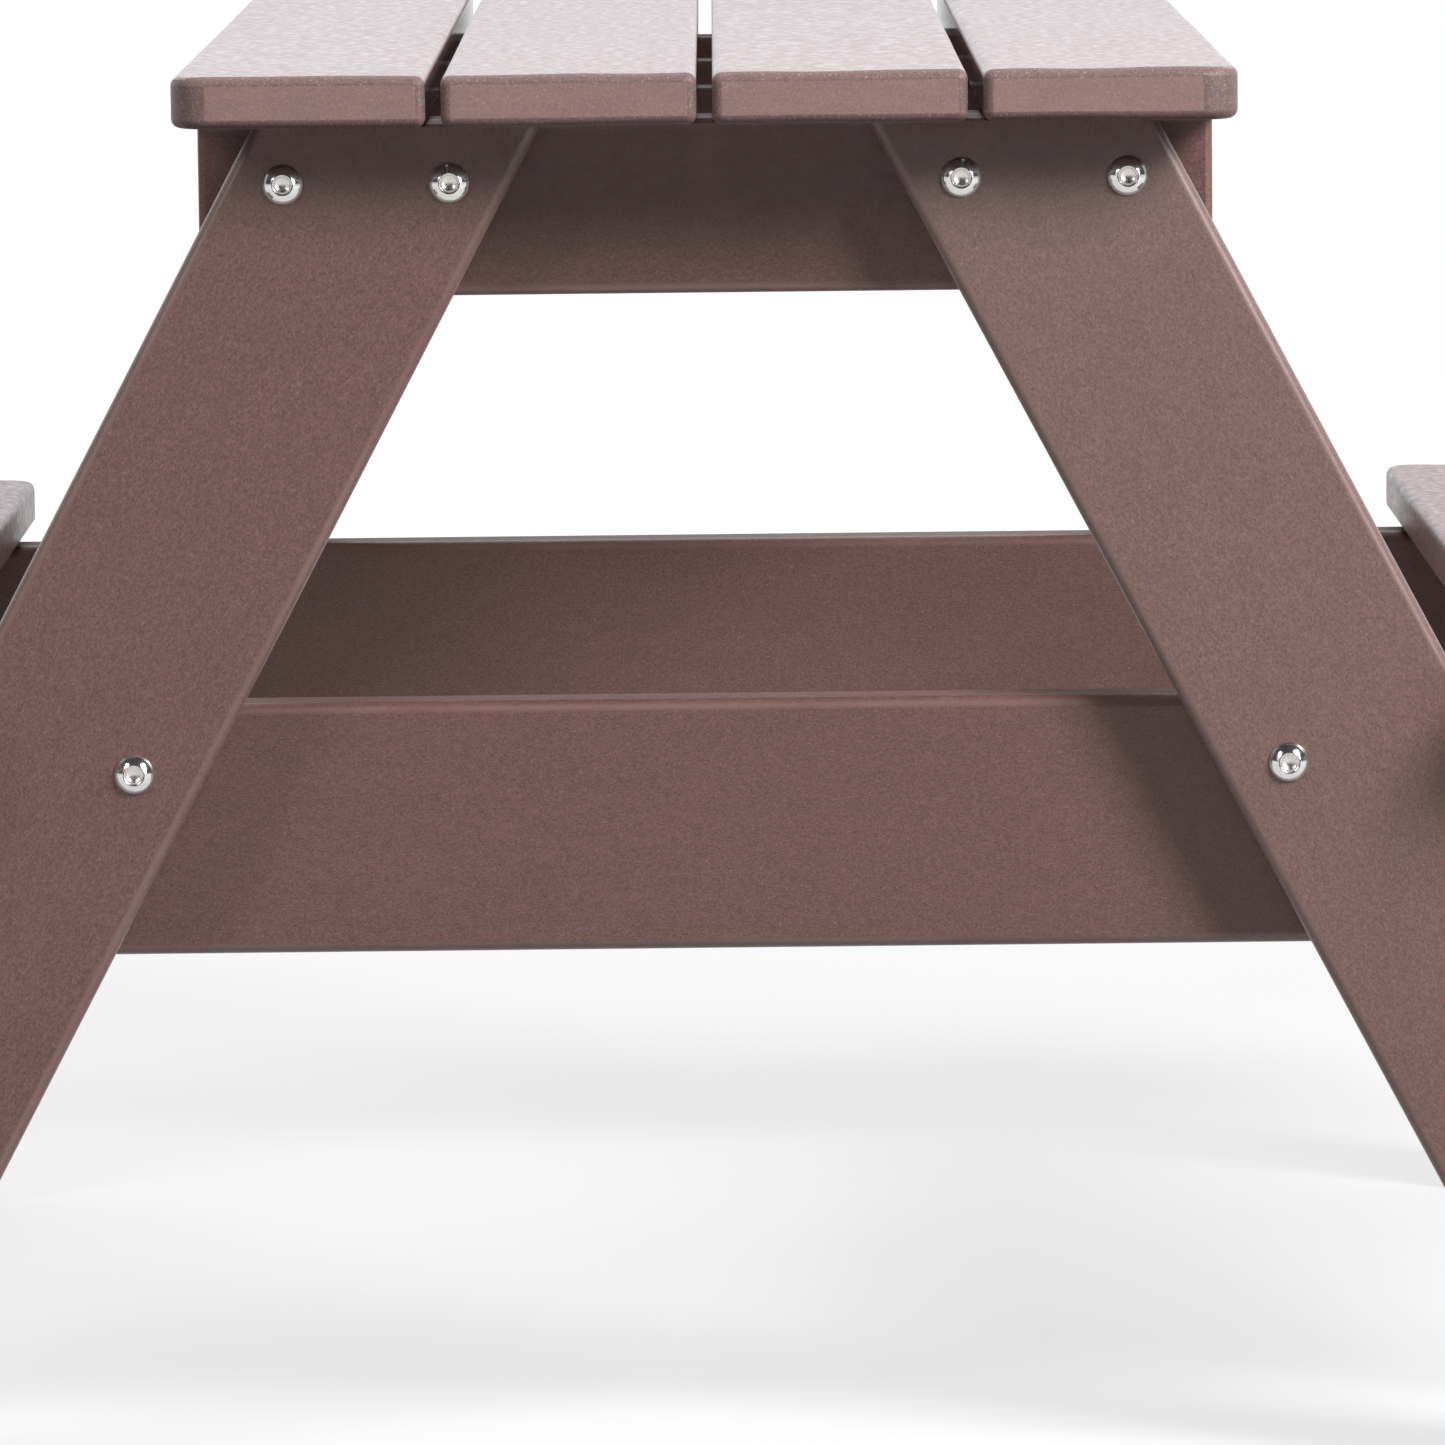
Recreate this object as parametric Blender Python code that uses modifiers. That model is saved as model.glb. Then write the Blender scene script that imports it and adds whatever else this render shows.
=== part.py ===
"""Child-size A-frame picnic table in recycled-plastic lumber, bolted together with stainless steel M8 bolts.

Metres, +Z up, standing on Z = 0. The table is centred on the origin: its length runs along Y and its benches lie
to the left (-X) and right (+X). "Near" is the -Y end and "far" the +Y end.

The tabletop and benches are flat boards. Each end has an A-frame: two raked legs outside, and behind them a
crossbeam under the tabletop and a seat rail that carries both benches, each joint held by two bolts.
"""

import math

import bmesh
import bpy
from mathutils import Matrix, Vector

# Overall sizes
TABLE_HEIGHT = 0.508
TABLETOP_LENGTH = 0.711
SEAT_LENGTH = 0.736
SEAT_DROP = 0.2077          # from the tabletop's underside to the benches' underside
SEAT_INNER_EDGE = 0.2855    # from the table's middle to a bench's inner edge

# Board lumber: tabletop, benches
BOARD_WIDTH = 0.089
BOARD_THICKNESS = 0.019
BOARD_GAP = 0.0055
BOARD_EDGE_RADIUS = 0.004
CORNER_RADIUS = 0.013       # in plan, at the outer corners of the tabletop and of each bench

# Frame lumber: legs, seat rails, crossbeams
FRAME_WIDTH = 0.090
FRAME_THICKNESS = 0.0254
FRAME_EDGE_RADIUS = 0.003
BEAM_HEIGHT = 0.0625        # crossbeams and battens under the tabletop
BEAM_INSET = 0.0065         # from a tabletop or bench edge to the end of the beam under it
BATTEN_THICKNESS = 0.019
BATTEN_EDGE_RADIUS = 0.002  # battens and cleats
BATTEN_OFFSET = 0.095       # from the middle of the table to each batten's middle
CLEAT_HEIGHT = 0.038

# A-frame
LEG_RAKE = math.radians(27.85)
LEG_TOP_OFFSET = 0.108      # leg's centre line at the tabletop's underside, from the table's middle
LEG_SETBACK = 0.0345        # from the tabletop's end to the leg's outer face

# Bolts: M8 with a button head and a hexagon socket, and a flanged cap nut on each
BOLT_RADIUS = 0.004
BOLT_LENGTH = 0.060
HOLE_RADIUS = 0.0045
HEAD_RADIUS = 0.007
HEAD_HEIGHT = 0.0044
HEAD_RIM = 0.0009           # height of the straight rim under the head's dome
TIP_CHAMFER = 0.001
SOCKET_ACROSS_FLATS = 0.005
SOCKET_DEPTH = 0.0028
NUT_ACROSS_FLATS = 0.013
NUT_HEX_HEIGHT = 0.008
NUT_HEIGHT = 0.0145
NUT_DOME_RADIUS = 0.0058
FLANGE_RADIUS = 0.0085
FLANGE_THICKNESS = 0.0016
NUT_BORE_DEPTH = 0.0115
BEAM_BOLT_DEPTH = 0.021     # from the tabletop's underside to the upper bolts
BEAM_BOLT_OFFSETS = (0.090, 0.1486)
RAIL_BOLT_OFFSET = 0.2045   # upper bolt of the leg and rail joint, from the table's middle
RAIL_BOLT_DEPTH = 0.0217    # from the rail's top edge to that bolt

GAP = 0.0003                # between pieces that touch
MERGE_DISTANCE = 0.00001
ROUND_STEPS = 12
DOME_STEPS = 3
SHARP_ANGLE = math.radians(35)      # an edge that turns by more is rounded, or stays sharp on a round piece
CUTTER_OVERSHOOT = 0.002

# Worked out from the sizes above
UNDERSIDE = TABLE_HEIGHT - BOARD_THICKNESS
RAIL_TOP = UNDERSIDE - SEAT_DROP
RAIL_MIDDLE = RAIL_TOP - FRAME_WIDTH / 2
LEG_FACE = TABLETOP_LENGTH / 2 - LEG_SETBACK        # outer face of the legs, from the table's middle
BEAM_FACE = LEG_FACE - FRAME_THICKNESS - GAP        # outer face of crossbeam and seat rail
TABLETOP_WIDTH = 4 * BOARD_WIDTH + 3 * BOARD_GAP
BENCH_WIDTH = 2 * BOARD_WIDTH + BOARD_GAP
SEAT_OUTER_EDGE = SEAT_INNER_EDGE + BENCH_WIDTH

ENDS = {"near": -1, "far": 1}
SIDES = {"left": -1, "right": 1}


def clear_scene():
    for obj in list(bpy.data.objects):
        bpy.data.objects.remove(obj)


def new_collection(name):
    collection = bpy.data.collections.new(name)
    bpy.context.scene.collection.children.link(collection)
    return collection


def make_material(name, color, roughness, metallic):
    material = bpy.data.materials.new(name)
    material.use_nodes = True
    shader = material.node_tree.nodes["Principled BSDF"]
    shader.inputs["Base Color"].default_value = (*color, 1)
    shader.inputs["Roughness"].default_value = roughness
    shader.inputs["Metallic"].default_value = metallic
    return material


clear_scene()
TABLE = new_collection("picnic_table")
CUTTERS = new_collection("cutters")
BOARD_PLASTIC = make_material("board_plastic", (0.16, 0.085, 0.075), 0.55, 0.0)
FRAME_PLASTIC = make_material("frame_plastic", (0.155, 0.079, 0.068), 0.60, 0.0)
STAINLESS = make_material("stainless_steel", (0.66, 0.655, 0.65), 0.20, 1.0)


def add_object(name, mesh, material, place=(0, 0, 0), turn=0.0):
    """A table part: `mesh` at `place`, turned by `turn` radians about the vertical."""
    obj = bpy.data.objects.new(name, mesh)
    obj.location = place
    obj.rotation_euler.z = turn
    if not mesh.materials:
        mesh.materials.append(material)
    TABLE.objects.link(obj)
    return obj


def add_cutter(name, mesh):
    obj = bpy.data.objects.new(name, mesh)
    obj.hide_render = True
    obj.display_type = "WIRE"
    CUTTERS.objects.link(obj)
    return obj


def round_edges(obj, radius, segments=3):
    """Rounds every edge that turns by more than SHARP_ANGLE."""
    bevel = obj.modifiers.new("rounded_edges", "BEVEL")
    bevel.width = radius
    bevel.segments = segments
    bevel.limit_method = "ANGLE"
    bevel.angle_limit = SHARP_ANGLE


def cut(obj, cutter):
    boolean = obj.modifiers.new("cut_" + cutter.name, "BOOLEAN")
    boolean.operation = "DIFFERENCE"
    boolean.object = cutter
    boolean.solver = "EXACT"


def settled_mesh(obj, name):
    """The mesh that an object's modifiers make, in its own space, after which the object is removed."""
    bpy.context.view_layer.update()
    graph = bpy.context.evaluated_depsgraph_get()
    mesh = bpy.data.meshes.new_from_object(obj.evaluated_get(graph))
    mesh.name = name
    bpy.data.objects.remove(obj)
    return mesh


def smooth_round_faces(mesh):
    mesh.shade_smooth()
    mesh.set_sharp_from_angle(angle=SHARP_ANGLE)


def box_mesh(name, size, rounded_corners=()):
    """A box centred on its origin. Each (x sign, y sign) in rounded_corners gets CORNER_RADIUS in plan."""
    bm = bmesh.new()
    bmesh.ops.create_cube(bm, size=1, matrix=Matrix.Diagonal((*size, 1)))
    upright = [e for e in bm.edges if abs(e.verts[0].co.z - e.verts[1].co.z) > size[2] / 2]
    rounded = [
        e for e in upright
        if any(e.verts[0].co.x * sx > 0 and e.verts[0].co.y * sy > 0 for sx, sy in rounded_corners)
    ]
    if rounded:
        bmesh.ops.bevel(bm, geom=rounded, offset=CORNER_RADIUS, segments=5, affect="EDGES", profile=0.5)
    mesh = bpy.data.meshes.new(name)
    bm.to_mesh(mesh)
    bm.free()
    return mesh


def board(name, x, z, length, corner_side=0):
    """A flat board along Y with its underside at z. corner_side, -1 or 1, is the edge whose corners are rounded."""
    corners = [(corner_side, -1), (corner_side, 1)] if corner_side else []
    mesh = box_mesh(name, (BOARD_WIDTH, length, BOARD_THICKNESS), corners)
    obj = add_object(name, mesh, BOARD_PLASTIC, (x, 0, z + BOARD_THICKNESS / 2))
    round_edges(obj, BOARD_EDGE_RADIUS)
    return obj


def beam(name, size, place, edge_radius=FRAME_EDGE_RADIUS):
    obj = add_object(name, box_mesh(name, size), FRAME_PLASTIC, place)
    round_edges(obj, edge_radius)
    return obj


def leg_outline():
    """Corners of a right-hand leg in the XZ plane: a raked strip cut level at the tabletop and at the floor."""
    rise = UNDERSIDE - GAP
    spread = rise * math.tan(LEG_RAKE)
    half_width = FRAME_WIDTH / 2 / math.cos(LEG_RAKE)
    foot, top = LEG_TOP_OFFSET + spread, LEG_TOP_OFFSET
    return [
        (foot - half_width, 0),
        (foot + half_width, 0),
        (top + half_width, rise),
        (top - half_width, rise),
    ]


def leg_mesh():
    """A right-hand leg, extruded from its outline, with its thickness centred on Y = 0."""
    curve = bpy.data.curves.new("leg_outline", "CURVE")
    curve.dimensions = "2D"
    curve.fill_mode = "BOTH"
    curve.extrude = FRAME_THICKNESS / 2
    corners = leg_outline()
    spline = curve.splines.new("POLY")
    spline.points.add(len(corners) - 1)
    for point, (x, z) in zip(spline.points, corners):
        point.co = (x, z, 0, 1)
    spline.use_cyclic_u = True
    outline = bpy.data.objects.new("leg_outline", curve)
    CUTTERS.objects.link(outline)
    mesh = settled_mesh(outline, "leg")
    mesh.transform(Matrix.Rotation(math.radians(90), 4, "X"))
    bm = bmesh.new()
    bm.from_mesh(mesh)
    bmesh.ops.remove_doubles(bm, verts=bm.verts, dist=MERGE_DISTANCE)
    bmesh.ops.dissolve_limit(bm, angle_limit=math.radians(1), verts=bm.verts, edges=bm.edges)
    bmesh.ops.recalc_face_normals(bm, faces=bm.faces)
    bm.to_mesh(mesh)
    bm.free()
    return mesh


def bolt_places():
    """Name and (x, z) of each bolt of the right-hand leg. The rail's two bolts mirror each other in the joint."""
    joint_x = LEG_TOP_OFFSET + (UNDERSIDE - RAIL_MIDDLE) * math.tan(LEG_RAKE)
    upper_z = RAIL_TOP - RAIL_BOLT_DEPTH
    return {
        "beam_inner": (BEAM_BOLT_OFFSETS[0], UNDERSIDE - BEAM_BOLT_DEPTH),
        "beam_outer": (BEAM_BOLT_OFFSETS[1], UNDERSIDE - BEAM_BOLT_DEPTH),
        "rail_upper": (RAIL_BOLT_OFFSET, upper_z),
        "rail_lower": (2 * joint_x - RAIL_BOLT_OFFSET, 2 * RAIL_MIDDLE - upper_z),
    }


def cylinder_along_y(bm, radius, length, centre):
    turn = Matrix.Translation(Vector(centre)) @ Matrix.Rotation(math.radians(90), 4, "X")
    bmesh.ops.create_cone(
        bm, cap_ends=True, segments=ROUND_STEPS, radius1=radius, radius2=radius, depth=length, matrix=turn
    )


def bolt_hole_cutter(end, direction):
    """All eight bolt holes of one A-frame."""
    bm = bmesh.new()
    depth = 2 * FRAME_THICKNESS + GAP
    middle = direction * (LEG_FACE - depth / 2)
    for side in SIDES.values():
        for x, z in bolt_places().values():
            cylinder_along_y(bm, HOLE_RADIUS, depth + 2 * CUTTER_OVERSHOOT, (side * x, middle, z))
    mesh = bpy.data.meshes.new("bolt_holes_" + end)
    bm.to_mesh(mesh)
    bm.free()
    return add_cutter("bolt_holes_" + end, mesh)


def turned(name, profile):
    """An object turned about Z from (radius, height) points, given from the top down its outer side."""
    mesh = bpy.data.meshes.new(name)
    points = [(radius, 0, height) for radius, height in profile]
    mesh.from_pydata(points, [(i, i + 1) for i in range(len(points) - 1)], [])
    obj = bpy.data.objects.new(name, mesh)
    CUTTERS.objects.link(obj)
    screw = obj.modifiers.new("turn", "SCREW")
    screw.steps = screw.render_steps = ROUND_STEPS
    screw.use_merge_vertices = True
    screw.merge_threshold = MERGE_DISTANCE
    return obj


def hexagon_mesh(name, across_flats, bottom, top):
    bm = bmesh.new()
    radius = across_flats / 2 / math.cos(math.radians(30))
    place = Matrix.Translation((0, 0, (bottom + top) / 2))
    bmesh.ops.create_cone(
        bm, cap_ends=True, segments=6, radius1=radius, radius2=radius, depth=top - bottom, matrix=place
    )
    mesh = bpy.data.meshes.new(name)
    bm.to_mesh(mesh)
    bm.free()
    return mesh


def dome(radius, height, base, steps):
    """(radius, height) points of a spherical cap from its top to its rim."""
    sphere = (radius**2 + height**2) / (2 * height)
    reach = math.asin(radius / sphere)
    return [
        (sphere * math.sin(reach * i / steps), base + height - sphere * (1 - math.cos(reach * i / steps)))
        for i in range(steps + 1)
    ]


def bolt_mesh():
    """A bolt along Z: the head's bearing face is at Z = 0, the dome above it and the shank below."""
    profile = dome(HEAD_RADIUS, HEAD_HEIGHT - HEAD_RIM, HEAD_RIM, DOME_STEPS)
    profile += [
        (HEAD_RADIUS, 0),
        (BOLT_RADIUS, 0),
        (BOLT_RADIUS, TIP_CHAMFER - BOLT_LENGTH),
        (BOLT_RADIUS - TIP_CHAMFER, -BOLT_LENGTH),
        (0, -BOLT_LENGTH),
    ]
    obj = turned("bolt_blank", profile)
    socket_floor = HEAD_HEIGHT - SOCKET_DEPTH
    socket_top = HEAD_HEIGHT + CUTTER_OVERSHOOT
    cut(obj, add_cutter("socket", hexagon_mesh("socket", SOCKET_ACROSS_FLATS, socket_floor, socket_top)))
    mesh = settled_mesh(obj, "button_head_bolt")
    smooth_round_faces(mesh)
    return mesh


def nut_mesh():
    """A flanged cap nut along Z: its bearing face is at Z = 0 and its dome at the top."""
    profile = dome(NUT_DOME_RADIUS, NUT_HEIGHT - NUT_HEX_HEIGHT, NUT_HEX_HEIGHT, DOME_STEPS)
    profile += [
        (NUT_DOME_RADIUS, FLANGE_THICKNESS),
        (FLANGE_RADIUS, FLANGE_THICKNESS / 2),
        (FLANGE_RADIUS, 0),
        (0, 0),
    ]
    nut = turned("nut_blank", profile)
    hexagon_part = hexagon_mesh("nut_hexagon", NUT_ACROSS_FLATS, FLANGE_THICKNESS / 2, NUT_HEX_HEIGHT)
    hexagon = add_cutter("nut_hexagon", hexagon_part)
    union = nut.modifiers.new("hexagon", "BOOLEAN")
    union.operation = "UNION"
    union.object = hexagon
    bore_radius = BOLT_RADIUS + GAP
    bore = turned(
        "nut_bore",
        [(0, NUT_BORE_DEPTH), (bore_radius, NUT_BORE_DEPTH), (bore_radius, -CUTTER_OVERSHOOT), (0, -CUTTER_OVERSHOOT)],
    )
    bore.hide_render = True
    bore.display_type = "WIRE"
    cut(nut, bore)
    mesh = settled_mesh(nut, "cap_nut")
    smooth_round_faces(mesh)
    return mesh


def make_tabletop():
    pitch = BOARD_WIDTH + BOARD_GAP
    for i in range(4):
        corner_side = {0: -1, 3: 1}.get(i, 0)
        board(f"tabletop_board_{i + 1}", (i - 1.5) * pitch, UNDERSIDE, TABLETOP_LENGTH, corner_side)


def make_benches():
    inner = SEAT_INNER_EDGE + BOARD_WIDTH / 2
    outer = inner + BOARD_WIDTH + BOARD_GAP
    cleat_size = (BENCH_WIDTH - 2 * BEAM_INSET, BATTEN_THICKNESS, CLEAT_HEIGHT)
    cleat_z = RAIL_TOP - CLEAT_HEIGHT / 2 - GAP
    for side, sign in SIDES.items():
        board(f"seat_{side}_inner_board", sign * inner, RAIL_TOP, SEAT_LENGTH, -sign)
        board(f"seat_{side}_outer_board", sign * outer, RAIL_TOP, SEAT_LENGTH, sign)
        beam(f"seat_{side}_cleat", cleat_size, (sign * (inner + outer) / 2, 0, cleat_z), BATTEN_EDGE_RADIUS)


def make_beams(holes):
    """Crossbeams and seat rails of both A-frames, and the two battens between them."""
    beam_length = TABLETOP_WIDTH - 2 * BEAM_INSET
    rail_length = 2 * (SEAT_OUTER_EDGE - BEAM_INSET)
    beam_z = UNDERSIDE - GAP - BEAM_HEIGHT / 2
    for end, direction in ENDS.items():
        y = direction * (BEAM_FACE - FRAME_THICKNESS / 2)
        crossbeam = beam(f"crossbeam_{end}", (beam_length, FRAME_THICKNESS, BEAM_HEIGHT), (0, y, beam_z))
        rail = beam(f"seat_rail_{end}", (rail_length, FRAME_THICKNESS, FRAME_WIDTH), (0, y, RAIL_MIDDLE - GAP))
        cut(crossbeam, holes[end])
        cut(rail, holes[end])
        batten_size = (beam_length, BATTEN_THICKNESS, BEAM_HEIGHT)
        beam(f"batten_{end}", batten_size, (0, direction * BATTEN_OFFSET, beam_z), BATTEN_EDGE_RADIUS)


def make_legs(holes):
    mesh = leg_mesh()
    for end, direction in ENDS.items():
        for side, sign in SIDES.items():
            place = (0, direction * (LEG_FACE - FRAME_THICKNESS / 2), 0)
            turn = 0 if sign > 0 else math.pi
            leg = add_object(f"leg_{end}_{side}", mesh, FRAME_PLASTIC, place, turn)
            round_edges(leg, FRAME_EDGE_RADIUS)
            cut(leg, holes[end])


def make_fasteners():
    """Each bolt goes in from the leg's outer face, and its nut sits on the inner face of the beam behind."""
    bolt, nut = bolt_mesh(), nut_mesh()
    inner_face = BEAM_FACE - FRAME_THICKNESS
    for end, direction in ENDS.items():
        outward = math.radians(90 * -direction)     # turns +Z to the end's outward direction
        for side, sign in SIDES.items():
            for place, (x, z) in bolt_places().items():
                name = f"{end}_{side}_{place}"
                screw = add_object("bolt_" + name, bolt, STAINLESS, (sign * x, direction * (LEG_FACE + GAP), z))
                screw.rotation_euler.x = outward
                cap = add_object("nut_" + name, nut, STAINLESS, (sign * x, direction * (inner_face - GAP), z))
                cap.rotation_euler.x = -outward


def make_table():
    holes = {end: bolt_hole_cutter(end, direction) for end, direction in ENDS.items()}
    make_tabletop()
    make_benches()
    make_beams(holes)
    make_legs(holes)
    make_fasteners()


make_table()
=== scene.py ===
"""Looks of the child-size A-frame picnic table: brown recycled-plastic lumber and polished stainless bolts.

Every piece of lumber is built in its own space (X along its grain, Y across its width, Z through its
thickness) and then put where its CAD node is. Its mesh keeps that space as attributes, so that the grain
runs along every piece.
"""

import math
import random

import bmesh
import bpy
from mathutils import Matrix, Vector, noise

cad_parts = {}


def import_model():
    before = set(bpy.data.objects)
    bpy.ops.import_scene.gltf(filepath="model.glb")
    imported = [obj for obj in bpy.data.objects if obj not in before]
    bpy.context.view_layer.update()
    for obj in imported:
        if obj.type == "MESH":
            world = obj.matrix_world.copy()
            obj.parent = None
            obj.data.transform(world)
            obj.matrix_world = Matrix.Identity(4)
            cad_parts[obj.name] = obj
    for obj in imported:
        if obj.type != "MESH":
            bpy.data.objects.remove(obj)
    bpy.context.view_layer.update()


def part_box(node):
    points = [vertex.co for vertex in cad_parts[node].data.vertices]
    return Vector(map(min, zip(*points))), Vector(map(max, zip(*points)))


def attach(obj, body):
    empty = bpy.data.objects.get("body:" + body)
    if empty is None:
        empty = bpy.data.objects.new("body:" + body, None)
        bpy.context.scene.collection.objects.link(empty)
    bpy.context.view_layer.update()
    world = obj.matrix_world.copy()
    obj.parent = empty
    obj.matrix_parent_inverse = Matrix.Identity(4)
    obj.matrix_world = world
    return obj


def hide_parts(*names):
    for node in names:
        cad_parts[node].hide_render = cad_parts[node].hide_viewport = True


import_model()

MM = 0.001

# Lumber
LEG_RAKE = math.radians(27.85)
FRAME_WIDTH = 90 * MM
BOARD_EDGE_RADIUS = 3.5 * MM
FRAME_EDGE_RADIUS = 2.5 * MM
LEG_EDGE_RADIUS = 4 * MM
LEG_END_RADIUS = 1 * MM
RAIL_EDGE_RADIUS = 4.5 * MM
BEAM_EDGE_RADIUS = 2 * MM
CORNER_RADIUS = 13 * MM
ROUND_SEGMENTS = 6              # of a rounded edge
CORNER_SEGMENTS = 12            # of a board's rounded corner
BOARD_WAVE = 0.8 * MM           # how far a board's faces wander below their nominal plane
WAVE_COLUMNS, WAVE_ROWS = 25, 22
WAVES_ALONG, WAVES_ACROSS = 5, 30       # in a metre along the grain and across it
WAVE_SWING = 1.6
ROUTER_STEP = 0.25 * MM         # what the router took off more, so that its cut has a crisp border
SEED_SHIFT = 0.713              # how far one seed moves a piece in the patterns of its materials, in metres
BOARD_SEED = 1                  # the first board's seed; the others count on
BEAM_SEED = 21
LEG_SEED = 41

# Fasteners
HEAD_RADIUS = 7 * MM
HEAD_HEIGHT = 4.4 * MM
HEAD_RIM = 0.7 * MM
LAND_RADIUS = 3.85 * MM         # outside of the flat ring round the countersink
LAND_HEIGHT = 3.44 * MM
COUNTERSINK_RADIUS = 3.55 * MM
COUNTERSINK_FLOOR = 3.2 * MM    # its radius where the hexagon starts
COUNTERSINK_DEPTH = 0.24 * MM
SOCKET_ACROSS_FLATS = 5.5 * MM
SOCKET_DEPTH = 1.7 * MM
SOCKET_CONE = 1.65 * MM
BOLT_RADIUS = 4 * MM
BOLT_LENGTH = 60 * MM
HOLE_RADIUS = 4.5 * MM
NUT_ACROSS_FLATS = 13 * MM
NUT_HEX_HEIGHT = 8 * MM
NUT_CHAMFER = 1.2 * MM
NUT_DOME_RADIUS = 5.9 * MM
NUT_DOME_HEIGHT = 6.3 * MM
NUT_BORE_RADIUS = 4.3 * MM
NUT_BORE_DEPTH = 11.5 * MM
FLANGE_RADIUS = 8.5 * MM
FLANGE_THICKNESS = 1.6 * MM
SCREW_HEAD_RADIUS = 4 * MM
SCREW_SINK = 0.3 * MM           # how deep a screw's head sits in its bore
SCREW_BORE_DEPTH = 3.2 * MM
SCREW_BORE_PLAY = 0.2 * MM
SCREW_HEAD_RIM = 0.15 * MM
SCREW_DRIVE_ACROSS_FLATS = 3.4 * MM
SCREW_DRIVE_DEPTH = 2.2 * MM
SCREW_OFFSET = 22 * MM          # two screws hold a board to a beam, this far either side of its middle
SCREW_TURN = 2.4                # from one screw's drive to the next one's, in radians

# Camera, in front of the near end of the tabletop
CAMERA_DISTANCE = 3.4
CAMERA_ABOVE_UNDERSIDE = 0.2013
CAMERA_OFFSET = 0.004
CAMERA_PITCH = math.radians(6.881)
CAMERA_ROLL = math.radians(0.629)
CAMERA_LENS = 243.5
CAMERA_CLIP_END = 200

# Studio: brightness of the dim room, of the bright sweep behind the table and of the paper floor
ROOM_SEEN = 0.08                # in reflections
ROOM_FILL = 0.12                # as light on the table
SWEEP_SEEN = 1.42
SWEEP_FILL = 0.75
FLOOR_SHADE = 0.25              # the paper's reflectance
FLOOR_GLOW = 0.70               # up to FLOOR_NEAR from the table's middle, dimmer than far off: painted shade round the table
FLOOR_GLOW_FAR = 0.90           # from FLOOR_FAR on
FLOOR_NEAR, FLOOR_FAR = 0.8, 2.6
FLOOR_REACH = 60
FLOOR_BOUNCE = 0.02             # as light on the table
WHITE_SEEN = 1.05               # what the camera sees behind the table
LIGHTS_AIM = 0.35               # the height that the lights face

# Plastic
BOARD_COLOR = (0.155, 0.080, 0.070)
# The tabletop boards' narrow sides are darker: painted shade of the gaps between the boards
BOARD_SIDE_SHADE_COLOR = (0.105, 0.063, 0.058)
BOARD_SAWN_COLOR = (0.234, 0.142, 0.126)
BOARD_ROUTED_COLOR = (0.150, 0.092, 0.086)
FRAME_COLOR = (0.130, 0.062, 0.052)
FRAME_SAWN_COLOR = (0.19, 0.105, 0.090)
FRAME_ROUTED_COLOR = (0.150, 0.078, 0.067)
EDGE_HIGHLIGHT_GAIN = 1.2               # along the frame's rounded edges a painted highlight makes them paler, less coloured and rubbing makes them less rough
EDGE_HIGHLIGHT_HAZE = 0.03              # less coloured
RUBBED_POLISH = 0.2             # and less rough

ENDS = {"near": -1, "far": 1}
SIDES = {"left": -1, "right": 1}
TABLETOP_BOARDS = [f"tabletop_board_{i}" for i in range(1, 5)]
BENCH_BOARDS = {side: [f"seat_{side}_{place}_board" for place in ("inner", "outer")] for side in SIDES}
BOLT_PLACES = ("beam_inner", "beam_outer", "rail_upper", "rail_lower")


# ---------------------------------------------------------------- materials

def node(tree, kind, inputs=None, **settings):
    """Adds a node. An input is a value, or a socket that gets linked to it."""
    made = tree.nodes.new("ShaderNode" + kind)
    for key, value in settings.items():
        setattr(made, key, value)
    for key, value in (inputs or {}).items():
        if isinstance(value, bpy.types.NodeSocket):
            tree.links.new(value, made.inputs[key])
        else:
            made.inputs[key].default_value = value
    return made


def math_node(tree, operation, a, b=0.0):
    return node(tree, "Math", {0: a, 1: b}, operation=operation).outputs[0]


def spread(tree, value, low, high, new_low, new_high, smooth=False):
    """value, from low..high, moved to new_low..new_high and kept inside it."""
    kind = "SMOOTHSTEP" if smooth else "LINEAR"
    inputs = {"Value": value, "From Min": low, "From Max": high, "To Min": new_low, "To Max": new_high}
    return node(tree, "MapRange", inputs, interpolation_type=kind).outputs["Result"]


def scaled(tree, vector, scale):
    return node(tree, "VectorMath", {0: vector, 1: scale}, operation="MULTIPLY").outputs[0]


def noise_of(tree, vector, scale, detail=2.0, roughness=0.5, distortion=0.0):
    """Noise in cells of 1/scale metres; scale is (along the grain, across, through)."""
    inputs = {
        "Vector": scaled(tree, vector, scale), "Scale": 1.0, "Detail": detail,
        "Roughness": roughness, "Distortion": distortion,
    }
    return node(tree, "TexNoise", inputs).outputs["Fac"]


def specks(tree, vector, scale, low, high):
    """1 in small ragged specks, where fine noise rises from low to high."""
    return spread(tree, noise_of(tree, vector, scale, 2.0, 0.7), low, high, 0, 1)


def mixed(tree, factor, a, b, blend="MIX"):
    inputs = {"Factor": factor, 6: a, 7: b}
    return node(tree, "Mix", inputs, data_type="RGBA", blend_type=blend).outputs[2]


def new_material(name):
    material = bpy.data.materials.new(name)
    material.use_nodes = True
    tree = material.node_tree
    return material, tree, tree.nodes["Principled BSDF"]


def grain_place(tree):
    """Where a point is in its piece of lumber: along the grain, across it and through it."""
    return node(tree, "Attribute", attribute_name="grain_place").outputs["Vector"]


def grain_space(tree):
    """The place in the grain, moved by the piece's seed so that no two pieces have the same pattern."""
    place = grain_place(tree)
    seed = node(tree, "Attribute", attribute_name="seed").outputs["Fac"]
    shift = node(tree, "CombineXYZ", {0: seed, 1: seed, 2: seed}).outputs[0]
    return node(tree, "VectorMath", {0: place, 1: shift}, operation="ADD").outputs[0]


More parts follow.
